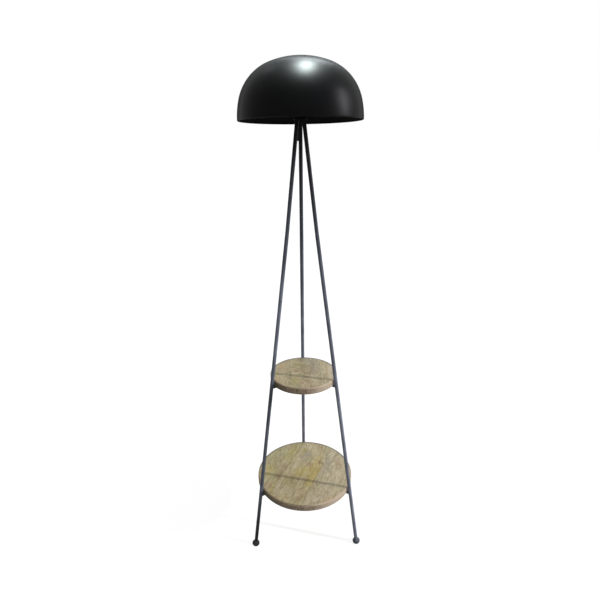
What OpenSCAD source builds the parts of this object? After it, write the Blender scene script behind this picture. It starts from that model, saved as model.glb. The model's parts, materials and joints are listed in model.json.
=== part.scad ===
// Tripod floor lamp with a spun steel dome shade and two round wooden shelves.
// The origin is on the lamp's upright axis at floor level, +Z is up and +Y points to the rear leg.

/* [Stand] */
// Height of the shade's rim above the floor
rim_height = 1415; // [1300:5:1500]
// Radius of the circle that the leg axes make at the feet
foot_circle_r = 208; // [190:1:240]
// Outer diameter of a leg's lower tube
leg_d = 12; // [11:0.5:14]
// Difference in diameter between the lower tube and the upper one that is set in its end
leg_step = 0.4; // [0.3:0.1:0.8]
// Wall of a leg tube
leg_wall = 1.5; // [1.2:0.1:1.8]
// Height of the joint between a leg's lower and upper tubes
leg_joint_z = 1100; // [1000:10:1150]
// Distance that the joint stands inside the straight line from foot to hub
leg_bow = 3.7; // [2:0.1:5]
// Depth of the upper tube's end in the lower tube
leg_joint_depth = 4; // [3:0.5:8]

/* [Shade] */
// Outer diameter of the dome at its rim
shade_d = 350; // [330:5:380]
// Radius of the arc that the side wall follows
wall_arc_r = 220; // [205:1:240]
// Angle of the side wall's arc
wall_arc_angle = 13.5; // [11:0.5:16]
// Radius of the shoulder between the side wall and the crown
shoulder_r = 130; // [124:1:136]
// Slope angle at which the shoulder runs into the crown
shoulder_angle = 69; // [67:0.5:71]
// Thickness of the spun sheet
sheet_t = 1; // [0.8:0.1:1.5]
// Diameter of the bead rolled inward at the rim
rim_bead_d = 3.2; // [2.6:0.2:4]

/* [Shade spider] */
// Width of an arm
arm_w = 10; // [8:1:14]
// Thickness of the spider's sheet
arm_t = 1.5; // [1:0.25:2]
// Height of the tab that is spot-welded to the dome
arm_tab_h = 14; // [10:1:20]
// Width of the ring's rim around the lampholder
spider_rim_w = 10; // [8:1:12]

/* [Shelves] */
// Height of the upper shelf's top face above the floor
upper_top = 633; // [560:1:700]
// Height of the lower shelf's top face above the floor
lower_top = 228; // [180:1:280]
// Thickness of a shelf board
board_t = 20; // [18:1:24]
// Radius of the eased edges
board_edge_r = 1.6; // [1:0.2:3]
// Gap between a board's edge and the legs
board_gap = 1; // [0.6:0.1:3]

/* [Lugs and screws] */
// Width of a lug that carries a shelf
lug_w = 15; // [14:0.5:18]
// Thickness of a lug
lug_t = 3; // [2.5:0.25:4]
// Distance from the leg's axis in to the lug's screw
lug_reach = 20; // [18:1:26]
// Diameter of a wood screw's shank
screw_d = 4; // [3:0.5:5]
// Length of a wood screw under its head
screw_len = 16; // [14:1:18]
// Diameter of a wood screw's pan head
screw_head_d = 8; // [7:0.5:9]
// Height of a wood screw's pan head
screw_head_h = 2.6; // [2:0.2:3]

/* [Feet] */
// Diameter of a foot's bead
foot_d = 26; // [24:1:30]
// Half height of the bead before its underside is cut flat
foot_half_h = 9.5; // [8.5:0.25:10.5]
// Height of the bead's middle above the floor
foot_mid_z = 6; // [5:0.25:6.25]
// Diameter of the neck between the bead and the leg
foot_neck_d = 8; // [7:0.5:9]
// Length of that neck
foot_neck_h = 3; // [2:0.5:5]
// Diameter of the foot's threaded stud
stud_d = 6; // [5:0.5:6]
// Length of the stud inside the leg
stud_len = 12; // [10:1:16]
// Length of the threaded insert in the leg's end
insert_len = 14; // [12:1:18]

/* [Cord inlet] */
// Distance along the rear leg from the foot's middle to the inlet
inlet_s = 46; // [40:1:80]
// Diameter of the bush's barrel
inlet_barrel_d = 6.8; // [6:0.2:7.2]
// Diameter of the cord's way through the bush
inlet_bore_d = 5.4; // [4.6:0.2:5.6]
// Diameter of the bush's flange
inlet_flange_d = 10; // [9:0.5:11]
// Thickness of the flange over the leg's crown
inlet_flange_t = 1.4; // [1:0.2:2]

/* [Hub] */
// Diameter of the hub that the legs are welded to
hub_d = 36; // [35:1:40]
// Distance from a leg's side to the hub's edge
hub_margin = 1.1; // [0.5:0.1:2]
// Height of the hub
hub_h = 10; // [9:1:14]
// Height of the hub's underside above the rim
hub_rise = 2; // [0:1:6]
// Depth of the wire chamber in the hub's underside
chamber_h = 4.5; // [4:0.5:5]
// Outer diameter of the threaded nipple
nipple_d = 10; // [9.5:0.5:10.5]
// Bore of the nipple
nipple_bore_d = 7.6; // [6:0.2:8]
// Width across flats of the lock nut
nut_af = 14; // [13:0.5:15]
// Height of the lock nut
nut_h = 3.5; // [3:0.5:5]
// Thickness of the washer under the nut
washer_t = 0.8; // [0.6:0.1:1.2]

/* [Lampholder] */
// Outer diameter of the holder's threaded sleeve
sleeve_d = 39.5; // [39:0.25:40]
// Wall of the sleeve
sleeve_wall = 2; // [1.6:0.1:2.2]
// Height of the whole holder
holder_h = 55; // [54:1:58]
// Height of the base cap
holder_cap_h = 20; // [19:1:22]
// Wall of the base cap
holder_cap_wall = 2; // [1.6:0.1:2.4]
// Diameter of the flange that the spider rests on
holder_flange_d = 44; // [43:0.5:46]
// Height of the flange's top face above the holder's base
holder_flange_z = 27; // [26:0.5:30]
// Inner diameter of the screw shell that the bulb turns in
screw_shell_d = 27.2; // [27:0.1:27.6]
// Height of the screw shell
screw_shell_h = 23; // [20:1:24]
// Outer diameter of the threaded shade ring
shade_ring_d = 54; // [52:1:56]
// Height of the shade ring
shade_ring_h = 8; // [7:1:10]

/* [Bulb] */
// Diameter of the bulb's globe
bulb_d = 45; // [40:1:46]
// Length of the bulb from its contact to its crown
bulb_len = 77; // [74:1:80]
// Diameter of the bulb's screw cap
bulb_cap_d = 26.4; // [26:0.1:26.6]
// Height of the bulb's screw cap
bulb_cap_h = 20; // [18:1:22]
// Wall of the globe
globe_wall = 1.2; // [0.8:0.1:1.6]

/* [Hidden] */
$fn = 96;
// Radial clearance between a round piece and the hole it sits in
fit_gap = 0.1;
// Clearance between pieces that are laid on each other along a curve
seat_gap = 0.3;
// Overshoot of a cutting shape past the face it cuts
cut = 1;
// Compass angles of the three legs and of the three spider arms
left_az = -150;
right_az = -30;
rear_az = 90;
leg_angles = [left_az, right_az, rear_az];
arm_angles = [30, 150, 270];
// Leg line: straight from the foot's middle up to the joint, then a little steeper to the underside of the hub
hub_z = rim_height + hub_rise;
leg_top_r = (hub_d - leg_d) / 2 - hub_margin;
leg_joint_r = foot_circle_r - leg_bow
    - (foot_circle_r - leg_top_r) * (leg_joint_z - foot_mid_z) / (hub_z - foot_mid_z);
leg_tilt = atan((foot_circle_r - leg_joint_r) / (leg_joint_z - foot_mid_z));
leg_upper_tilt = atan((leg_joint_r - leg_top_r) / (hub_z - leg_joint_z));
leg_turn = leg_tilt - leg_upper_tilt;
leg_joint_s = (leg_joint_z - foot_mid_z) / cos(leg_tilt);
leg_upper_len = (hub_z - leg_joint_z) / cos(leg_upper_tilt);
leg_start = foot_half_h + foot_neck_h;
leg_bore_d = leg_d - 2 * leg_wall;
// Stack on the hub, from the washer up to the lampholder's base
hub_top = hub_z + hub_h;
nut_z = hub_top + washer_t;
holder_z = nut_z + nut_h;
nipple_z = hub_z + chamber_h;
nipple_top = holder_z + 6;
// Lampholder's inner levels above its base
insert_z = 12;
insert_h = holder_flange_z - 1 - insert_z;
shell_seat_z = insert_z + insert_h;
contact_h = 3.7;
shell_t = 0.5;
// The bulb's contact hangs a hair above the holder's contact when it is screwed home
bulb_z = holder_z + shell_seat_z + contact_h + seat_gap;
bulb_contact_h = 2;
bulb_insulator_h = 3;
bulb_cap_z = bulb_contact_h + bulb_insulator_h;
housing_z = bulb_cap_z + bulb_cap_h;
globe_mid_z = bulb_len - bulb_d / 2;
globe_seat_z = globe_mid_z - 0.6 * bulb_d / 2;
spider_z = holder_z + holder_flange_z;

// Points of an arc in the profile plane, from angle a0 to angle a1 in steps of about 3 degrees
function arc(c, r, a0, a1) =
    let (n = max(2, ceil(abs(a1 - a0) / 3)))
    [for (i = [0 : n]) let (a = a0 + (a1 - a0) * i / n) [c[0] + r * cos(a), c[1] + r * sin(a)]];

// Radius of a leg's axis from the lamp's axis at height z, below the joint
function leg_r(z) = foot_circle_r - (z - foot_mid_z) * tan(leg_tilt);

// Radius of a board whose top face is at height top: it stops just short of the legs
function board_r(top) = leg_r(top) - leg_d / 2 / cos(leg_tilt) - board_gap;

// Centres of the dome's three arcs, each tangent to the next, with the rim at height zero
wall_c = [shade_d / 2 - wall_arc_r, 0];
shoulder_c = wall_c + (wall_arc_r - shoulder_r) * [cos(wall_arc_angle), sin(wall_arc_angle)];
crown_r = shoulder_r + shoulder_c[0] / cos(shoulder_angle);
crown_c = [0, shoulder_c[1] - shoulder_c[0] * tan(shoulder_angle)];

// Dome curve from the rim to the crown, set inward by a depth measured square to the surface
function dome_curve(depth) = concat(
    arc(wall_c, wall_arc_r - depth, 0, wall_arc_angle),
    arc(shoulder_c, shoulder_r - depth, wall_arc_angle, shoulder_angle),
    [for (p = arc(crown_c, crown_r - depth, shoulder_angle, 90)) [max(0, p[0]), p[1]]]
);

function reversed(list) = [for (i = [len(list) - 1 : -1 : 0]) list[i]];

module dome_band(outer, inner) {
    translate([0, 0, rim_height]) rotate_extrude($fn = 180)
        polygon(concat(dome_curve(outer), reversed(dome_curve(inner))));
}

module dome_inside(depth) {
    translate([0, 0, rim_height]) rotate_extrude($fn = 180)
        polygon(concat([[0, 0]], dome_curve(depth)));
}

// Places children on a leg's axis: local +Z runs up the leg and local +X points outward
module on_leg(az, s = 0) {
    rotate([0, 0, az]) translate([foot_circle_r, 0, foot_mid_z])
        rotate([0, -leg_tilt, 0]) translate([0, 0, s]) children();
}

// Places children on the axis of a leg's upper length, from the joint where it leaves the lower one
module on_upper_leg(az) {
    on_leg(az, leg_joint_s) rotate([0, leg_turn, 0]) children();
}

module above(z) {
    span = 2 * (foot_circle_r + shade_d);
    translate([-span / 2, -span / 2, z]) cube([span, span, span]);
}

module below(z) {
    span = 2 * (foot_circle_r + shade_d);
    translate([-span / 2, -span / 2, z - span]) cube([span, span, span]);
}

module shade_dome() {
    color([0.05, 0.05, 0.055]) union() {
        dome_band(0, sheet_t);
        translate([0, 0, rim_height]) rotate_extrude($fn = 180)
            translate([shade_d / 2 - rim_bead_d / 2 - 0.05, rim_bead_d / 2]) circle(d = rim_bead_d, $fn = 32);
    }
}

module shade_spider() {
    ring_d = holder_flange_d + 2 * spider_rim_w;
    tab_face = sheet_t + seat_gap;
    color([0.1, 0.1, 0.1]) {
        difference() {
            union() {
                translate([0, 0, spider_z]) cylinder(d = ring_d, h = arm_t);
                intersection() {
                    dome_inside(tab_face);
                    for (az = arm_angles) rotate([0, 0, az])
                        translate([ring_d / 2 - 2, -arm_w / 2, spider_z]) cube([shade_d / 2, arm_w, arm_t]);
                }
                intersection() {
                    dome_band(tab_face, tab_face + arm_t);
                    for (az = arm_angles) rotate([0, 0, az])
                        translate([ring_d / 2, -arm_w / 2, spider_z]) cube([shade_d / 2, arm_w, arm_tab_h]);
                }
            }
            translate([0, 0, spider_z - cut]) cylinder(d = sleeve_d + 4 * fit_gap, h = arm_t + 2 * cut);
        }
    }
}

module shade_ring() {
    rib_count = 24;
    color([0.09, 0.09, 0.09]) translate([0, 0, spider_z + arm_t]) difference() {
        union() {
            cylinder(d = shade_ring_d, h = 2.5);
            cylinder(d = shade_ring_d - 6, h = shade_ring_h);
        }
        translate([0, 0, -cut]) cylinder(d = sleeve_d + 2 * fit_gap, h = shade_ring_h + 2 * cut);
        for (i = [0 : rib_count - 1]) rotate([0, 0, 360 * i / rib_count])
            translate([shade_ring_d / 2 + 0.4, 0, -cut]) cylinder(d = 2.4, h = shade_ring_h + 2 * cut, $fn = 24);
    }
}

module holder_cap() {
    r = sleeve_d / 2;
    hole_r = nipple_d / 2 + fit_gap;
    neck_r = 9;
    inner_r = r - holder_cap_wall;
    color([0.08, 0.08, 0.08]) translate([0, 0, holder_z]) rotate_extrude()
        polygon(concat(
            [[hole_r, 0], [neck_r, 0], [neck_r, 3]],
            arc([neck_r, insert_z + 2], r - neck_r, -90, 0),
            [[r, holder_cap_h], [inner_r, holder_cap_h], [inner_r, insert_z], [inner_r - 2, insert_z]],
            arc([neck_r, insert_z], inner_r - 2 - neck_r, 0, -90),
            [[hole_r, 5]]
        ));
}

module holder_shell() {
    r = sleeve_d / 2;
    flange_r = holder_flange_d / 2;
    flange_t = 2;
    lip = 0.8;
    color([0.08, 0.08, 0.08]) translate([0, 0, holder_z]) rotate_extrude()
        polygon([
            [r - sleeve_wall, holder_cap_h], [r, holder_cap_h], [r, holder_flange_z - flange_t],
            [flange_r, holder_flange_z - flange_t], [flange_r, holder_flange_z], [r, holder_flange_z],
            [r, holder_h - lip], [r - lip, holder_h], [r - sleeve_wall, holder_h]
        ]);
}

module holder_insert() {
    r = min(sleeve_d / 2 - sleeve_wall, sleeve_d / 2 - holder_cap_wall) - seat_gap;
    color([0.9, 0.88, 0.84]) translate([0, 0, holder_z + insert_z]) difference() {
        cylinder(r = r, h = insert_h);
        translate([0, 0, -cut]) cylinder(r = 1.8 + fit_gap, h = insert_h + 2 * cut);
        for (side = [-1, 1]) translate([side * 9.5 - 3.7, -3.2, -cut]) cube([7.4, 6.4, 7 + cut]);
    }
}

module holder_screw_shell() {
    r = screw_shell_d / 2;
    color([0.78, 0.72, 0.5]) translate([0, 0, holder_z + shell_seat_z]) rotate_extrude()
        polygon([
            [6.5, 0], [r + shell_t, 0], [r + shell_t, screw_shell_h - 1], [r + shell_t + 0.6, screw_shell_h],
            [r + 0.6, screw_shell_h], [r, screw_shell_h - 1], [r, shell_t], [6.5, shell_t]
        ]);
}

module holder_contact() {
    color([0.8, 0.65, 0.3]) translate([0, 0, holder_z + shell_seat_z]) {
        rotate_extrude() polygon(concat(
            [[0, -8], [1.8, -8], [1.8, 0], [3.6, 0], [3.6, 1.2]],
            arc([0, 1.2], contact_h - 1.2, 45, 90)
        ));
    }
}

module holder_terminals() {
    color([0.8, 0.65, 0.3]) for (side = [-1, 1]) translate([side * 9.5, 0, holder_z + insert_z]) {
        translate([-3.5, -3, 1]) cube([7, 6, 6]);
        translate([0, 0, -1]) cylinder(r = 1.7, h = 2, $fn = 32);
    }
}

module nipple() {
    color([0.75, 0.75, 0.72]) difference() {
        translate([0, 0, nipple_z]) cylinder(d = nipple_d, h = nipple_top - nipple_z);
        translate([0, 0, nipple_z - cut]) cylinder(d = nipple_bore_d, h = nipple_top - nipple_z + 2 * cut);
    }
}

module nipple_washer() {
    color([0.75, 0.75, 0.72]) translate([0, 0, hub_top]) difference() {
        cylinder(d = nut_af + 4, h = washer_t);
        translate([0, 0, -cut]) cylinder(d = nipple_d + 2 * fit_gap, h = washer_t + 2 * cut);
    }
}

module nipple_nut() {
    color([0.75, 0.75, 0.72]) translate([0, 0, nut_z]) difference() {
        cylinder(d = nut_af / cos(30), h = nut_h, $fn = 6);
        translate([0, 0, -cut]) cylinder(d = nipple_d + 2 * fit_gap, h = nut_h + 2 * cut);
    }
}

module hub() {
    wire_d = leg_bore_d - 3;
    chamber_floor = 1.5;
    edge = 1;
    color([0.06, 0.06, 0.065]) translate([0, 0, hub_z]) difference() {
        rotate_extrude() polygon([
            [0, 0], [hub_d / 2 - edge, 0], [hub_d / 2, edge], [hub_d / 2, hub_h - edge],
            [hub_d / 2 - edge, hub_h], [0, hub_h]
        ]);
        translate([0, 0, chamber_h]) cylinder(d = nipple_d + 2 * fit_gap, h = hub_h);
        translate([0, 0, chamber_floor]) cylinder(d = nipple_bore_d, h = chamber_h);
        rotate([0, 0, rear_az]) {
            translate([leg_top_r, 0, -cut]) cylinder(d = wire_d, h = chamber_h + cut);
            translate([0, -wire_d / 2, chamber_floor]) cube([leg_top_r, wire_d, chamber_h - chamber_floor]);
        }
    }
}

module leg(az) {
    reach = leg_joint_depth + leg_upper_len + leg_d;
    color([0.07, 0.07, 0.075]) difference() {
        union() {
            on_leg(az, leg_start) cylinder(d = leg_d, h = leg_joint_s - leg_start);
            on_upper_leg(az) translate([0, 0, -leg_joint_depth]) cylinder(d = leg_d - leg_step, h = reach);
        }
        on_leg(az, leg_start - cut) cylinder(d = leg_bore_d, h = leg_joint_s - leg_start + cut - leg_joint_depth);
        on_upper_leg(az) translate([0, 0, -2 * leg_joint_depth])
            cylinder(d = leg_bore_d - leg_step, h = reach + leg_joint_depth);
        above(hub_z);
    }
}

module leg_rear() {
    color([0.07, 0.07, 0.075]) difference() {
        leg(rear_az);
        on_leg(rear_az, inlet_s) rotate([0, 90, 0]) cylinder(d = inlet_barrel_d + 2 * fit_gap, h = leg_d, $fn = 48);
    }
}

module leg_inserts() {
    color([0.75, 0.75, 0.72]) for (az = leg_angles) on_leg(az, leg_start) difference() {
        cylinder(d = leg_bore_d - 2 * fit_gap, h = insert_len, $fn = 48);
        translate([0, 0, -cut]) cylinder(d = stud_d + 2 * fit_gap, h = insert_len + 2 * cut, $fn = 48);
    }
}

// Turned bead on a short neck, with its underside ground flat on the floor
module foot(az) {
    color([0.05, 0.05, 0.05]) difference() {
        on_leg(az) union() {
            rotate_extrude() polygon(
                [for (t = [-90 : 6 : 90]) [foot_d / 2 * max(0, cos(t)), foot_half_h * sin(t)]]
            );
            cylinder(d = foot_neck_d, h = leg_start, $fn = 48);
            cylinder(d = stud_d, h = leg_start + stud_len, $fn = 48);
        }
        below(0);
    }
}

// Flanged bush for the cord, seated in the rear leg's wall
module cord_inlet_bush() {
    reach = leg_d / 2 + inlet_flange_t;
    color([0.04, 0.04, 0.04]) difference() {
        on_leg(rear_az, inlet_s) rotate([0, 90, 0]) union() {
            difference() {
                cylinder(d = inlet_flange_d, h = reach, $fn = 48);
                rotate([0, -90, 0]) translate([0, 0, -leg_d]) cylinder(d = leg_d + 2 * fit_gap, h = 2 * leg_d);
            }
            translate([0, 0, leg_bore_d / 2 - 0.5])
                cylinder(d = inlet_barrel_d, h = reach - leg_bore_d / 2 + 0.5, $fn = 48);
        }
        on_leg(rear_az, inlet_s) rotate([0, 90, 0]) cylinder(d = inlet_bore_d, h = reach + cut, $fn = 48);
    }
}

// Round board with eased edges and blind pilot holes for the screws of its lugs
module shelf(top) {
    r = board_r(top);
    e = board_edge_r;
    color([0.66, 0.55, 0.38]) difference() {
        translate([0, 0, top - board_t]) rotate_extrude($fn = 180) polygon(concat(
            [[0, 0]],
            arc([r - e, e], e, -90, 0),
            arc([r - e, board_t - e], e, 0, 90),
            [[0, board_t]]
        ));
        at_lugs(top) translate([0, 0, -cut])
            cylinder(d = screw_d + 2 * fit_gap, h = cut + screw_len - lug_t + 1, $fn = 32);
    }
}

// Places children at each lug's screw, on the underside of a board
module at_lugs(top) {
    z = top - board_t;
    for (az = leg_angles) rotate([0, 0, az]) translate([leg_r(z) - lug_reach, 0, z]) children();
}

// Flat lugs coped round the legs that they are welded to
module lugs(top) {
    color([0.05, 0.05, 0.055]) difference() {
        at_lugs(top) translate([0, 0, -lug_t]) difference() {
            linear_extrude(lug_t) union() {
                circle(d = lug_w, $fn = 48);
                translate([0, -lug_w / 2]) square([lug_reach, lug_w]);
            }
            translate([0, 0, -cut]) cylinder(d = screw_d + 0.6, h = lug_t + 2 * cut, $fn = 32);
        }
        for (az = leg_angles) on_leg(az, leg_start) cylinder(d = leg_d + 2 * fit_gap, h = leg_joint_s);
    }
}

module screws(top) {
    tip_h = 4;
    color([0.2, 0.2, 0.2]) at_lugs(top) translate([0, 0, -lug_t]) rotate_extrude($fn = 48) polygon(concat(
        arc([0, screw_head_d - screw_head_h], screw_head_d, -90, -60),
        [[screw_head_d / 2, 0], [screw_d / 2, 0], [screw_d / 2, screw_len - tip_h], [0, screw_len]]
    ));
}

module bulb_globe() {
    r = bulb_d / 2;
    seat = asin((globe_seat_z - globe_mid_z) / r);
    inner_seat = asin((globe_seat_z - globe_mid_z) / (r - globe_wall));
    color([0.95, 0.94, 0.9]) translate([0, 0, bulb_z + globe_mid_z]) rotate_extrude()
        polygon(concat(
            [for (p = arc([0, 0], r, seat, 90)) [max(0, p[0]), p[1]]],
            [for (p = arc([0, 0], r - globe_wall, 90, inner_seat)) [max(0, p[0]), p[1]]]
        ));
}

module bulb_housing() {
    top_r = sqrt(pow(bulb_d / 2, 2) - pow(globe_seat_z - globe_mid_z, 2));
    foot_r = bulb_cap_d / 2 + 0.4;
    mid_z = (housing_z + globe_seat_z) / 2;
    color([0.92, 0.92, 0.9]) translate([0, 0, bulb_z]) rotate_extrude() polygon([
        [0, housing_z], [foot_r, housing_z], [foot_r + 0.6, housing_z + 1.5],
        [(foot_r + top_r) / 2, mid_z], [top_r, globe_seat_z - 1], [top_r, globe_seat_z], [0, globe_seat_z]
    ]);
}

module bulb_cap() {
    color([0.8, 0.8, 0.78]) translate([0, 0, bulb_z + bulb_cap_z])
        cylinder(d = bulb_cap_d, h = bulb_cap_h);
}

module bulb_insulator() {
    color([0.03, 0.03, 0.03]) translate([0, 0, bulb_z + bulb_contact_h])
        cylinder(r1 = 5.5, r2 = bulb_cap_d / 2 - 1.5, h = bulb_insulator_h);
}

module bulb_contact() {
    color([0.8, 0.72, 0.45]) translate([0, 0, bulb_z]) cylinder(d = 9, h = bulb_contact_h, $fn = 48);
}

shade_dome();
shade_spider();
shade_ring();
holder_cap();
holder_shell();
holder_insert();
holder_screw_shell();
holder_contact();
holder_terminals();
nipple();
nipple_washer();
nipple_nut();
hub();
leg(left_az);  // leg_left
leg(right_az);  // leg_right
leg_rear();
leg_inserts();
foot(left_az);  // foot_left
foot(right_az);  // foot_right
foot(rear_az);  // foot_rear
cord_inlet_bush();
shelf(upper_top);  // upper_shelf
shelf(lower_top);  // lower_shelf
lugs(upper_top);  // upper_lugs
lugs(lower_top);  // lower_lugs
screws(upper_top);  // upper_screws
screws(lower_top);  // lower_screws
bulb_globe();
bulb_housing();
bulb_cap();
bulb_insulator();
bulb_contact();
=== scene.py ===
"""Floor lamp with a spun steel dome on three tube legs and two round shelves.

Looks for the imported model: the turned, threaded and welded pieces, their
finishes, the studio and the camera. Sizes are in metres unless a name ends
in _mm. Height runs along +Z and the front of the lamp faces -Y.
"""

import json
import math

import bpy
import numpy as np
from mathutils import Matrix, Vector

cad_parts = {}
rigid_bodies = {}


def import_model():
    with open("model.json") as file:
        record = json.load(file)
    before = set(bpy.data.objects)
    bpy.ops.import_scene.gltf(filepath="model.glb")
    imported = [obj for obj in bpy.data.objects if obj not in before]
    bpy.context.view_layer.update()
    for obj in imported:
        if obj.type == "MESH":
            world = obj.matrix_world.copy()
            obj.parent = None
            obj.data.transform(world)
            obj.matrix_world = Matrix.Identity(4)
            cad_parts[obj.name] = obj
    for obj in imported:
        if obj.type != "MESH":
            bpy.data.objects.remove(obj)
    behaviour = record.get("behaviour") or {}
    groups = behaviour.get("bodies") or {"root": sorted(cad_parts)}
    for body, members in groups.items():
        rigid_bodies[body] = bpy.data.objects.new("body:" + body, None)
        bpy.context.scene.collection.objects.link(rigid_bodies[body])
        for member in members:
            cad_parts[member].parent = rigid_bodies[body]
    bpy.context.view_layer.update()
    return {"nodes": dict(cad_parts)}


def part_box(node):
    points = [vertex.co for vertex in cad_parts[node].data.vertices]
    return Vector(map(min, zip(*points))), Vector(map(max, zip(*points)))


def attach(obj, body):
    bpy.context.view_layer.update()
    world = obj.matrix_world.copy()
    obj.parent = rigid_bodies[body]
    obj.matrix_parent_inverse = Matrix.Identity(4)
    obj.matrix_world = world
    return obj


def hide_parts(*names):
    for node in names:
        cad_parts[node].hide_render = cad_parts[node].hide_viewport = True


bl_info = {
    "name": "Dome Floor Lamp with Shelves",
    "version": (1, 0, 0),
    "blender": (4, 5, 0),
    "location": "3D View > Sidebar > Floor Lamp",
    "description": "Pieces, finishes and studio for a three-legged dome floor lamp",
    "category": "Object",
}

for leftover in list(bpy.data.objects):
    bpy.data.objects.remove(leftover)

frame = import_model()

MM = 0.001
LEG_AZIMUTHS = {"left": -150.0, "right": -30.0, "rear": 90.0}
DOME_LOW, DOME_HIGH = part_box("shade_dome")
HUB_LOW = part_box("hub")[0]
UPPER_LOW, UPPER_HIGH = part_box("upper_shelf")
LOWER_LOW, LOWER_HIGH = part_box("lower_shelf")
CAP_LOW, CAP_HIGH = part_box("bulb_cap")
SCREW_SHELL_LOW, SCREW_SHELL_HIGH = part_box("holder_screw_shell")
WALL_ARC = 0.220
SHOULDER_ARC = 0.130
# A leg's axis at its foot, at the joint of its tubes and at its top
FOOT_RADIUS = 0.208
FOOT_HEIGHT = 0.006
LEG_JOINT_RADIUS = 0.05148
LEG_JOINT_HEIGHT = 1.1
LEG_TOP_RADIUS = 0.0109
SCREW_CIRCLES = {"upper": 0.1012, "lower": 0.1591}
# Studio: the floor's half width, the panels' place and the camera's
FLOOR_HALF = 30.0
PANEL_DISTANCE = 3.0
PANEL_AIM = (0.0, 0.0, 1.5)
CAMERA_PLACE = (-0.02333, -1.31029, 1.33710)
CAMERA_AZIMUTH = -math.pi / 2.0 - 0.01140
CAMERA_ELEVATION = 0.32960
CAMERA_ROLL = -0.01440
# Painted sheen on the tubes, as (height, share) stops from the floor up: a grey sheen painted where light
# falls lower down, fading to the bare black paint under the dome as painted shade, and dipping as painted
# shadow where the boards shade the left leg
BARE = ((0.0, 0.0), (1.0, 0.0))
LEG_PAINTED_SHEEN = {
    "left": ((0.03, 0.0), (0.10, 0.05), (0.15, 0.42), (0.42, 0.56), (0.57, 0.38),
             (0.70, 0.66), (0.84, 0.92), (0.93, 0.72), (1.00, 0.50), (1.20, 0.28), (1.35, 0.0)),
    "right": ((0.03, 0.75), (0.11, 1.00), (0.42, 1.00), (0.56, 0.92), (0.78, 0.74),
              (0.90, 0.66), (1.00, 0.52), (1.20, 0.18), (1.35, 0.0)),
    "rear": ((0.05, 0.80), (0.30, 1.00), (0.44, 0.98), (0.79, 0.90), (0.90, 0.66), (1.00, 0.56),
             (1.08, 0.34), (1.20, 0.24), (1.35, 0.0)),
}
# Lugs and feet take the same painted sheen; the left foot's low share is painted shade.
LUG_PAINTED_SHEEN = ((0.1, 0.7), (0.9, 0.6))
FOOT_PAINTED_SHEEN = {"left": ((0.0, 0.05), (0.02, 0.14)), "right": ((0.0, 0.10), (0.015, 0.42)),
              "rear": ((0.0, 0.2), (0.02, 0.5))}


# Stains of the boards: (tone, plank, across, along, width, length, degrees, amount), sizes in mm.
# Each ends at its plank's joints, and plank 3 is all of them.
UPPER_STAINS = (
    ("green", 1, -14, 50, 34, 40, 14, 0.45), ("grey", 1, 34, 44, 22, 80, 0, 0.75),
    ("grey", 1, 4, 94, 30, 20, 0, 0.75), ("dark", 1, 2, 96, 26, 14, 0, 0.28),
    ("dark", 1, 6, 8, 18, 56, 6, 0.44), ("yellow", 1, -34, 4, 10, 26, 0, 0.35),
    ("pale", 1, -34, -10, 14, 12, 0, 0.6), ("bleached", 1, -25, 7, 17, 19, 0, 0.30),
    ("dark", 1, -25, 8, 11.5, 13, 0, 0.35), ("pink", 1, -25, 8, 9, 10, 0, 0.95),
    ("pink", 1, -7, 10, 6, 7, 0, 0.7), ("dark", 1, -26, 6, 5, 4, 0, 0.85),
    ("green", 1, -30, -48, 14, 16, 8, 0.85), ("yellow", 1, -24, -46, 8, 12, 8, 0.4),
    ("green", 1, -38, -72, 12, 18, 0, 0.6), ("dark", 1, -44, -22, 5, 26, 0, 0.5),
    ("pink", 1, 13, -67, 12, 14, 0, 0.9), ("dark", 1, 14, -74, 5, 5, 0, 0.7),
    ("pink", 1, -8, -74, 9, 8, 0, 0.8), ("pale", 1, 34, -66, 18, 20, 0, 0.6),
    ("bleached", 2, 66, -64, 12, 22, 0, 0.3), ("pink", 1, 20, -100, 30, 8, 0, 0.6),
    ("pink", 1, 26, 8, 7, 40, 0, 0.25), ("orange", 0, -73, 43, 10, 15, 0, 0.75),
    ("orange", 0, -86, -28, 6, 40, 0, 0.45), ("pale", 0, -66, -30, 8, 44, 0, 0.4),
    ("yellow", 2, 66, 56, 9, 14, 0, 0.6), ("pale", 2, 90, 6, 14, 62, 0, 0.7),
    ("bleached", 2, 92, 4, 12, 60, 0, 0.4), ("grey", 2, 66, 60, 14, 30, 0, 0.35),
    ("orange", 2, 80, -20, 5, 44, 0, 0.35), ("green", 2, 62, -44, 9, 40, 0, 0.5),
    ("grey", 2, 60, 20, 5, 40, 0, 0.4),
)
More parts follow.
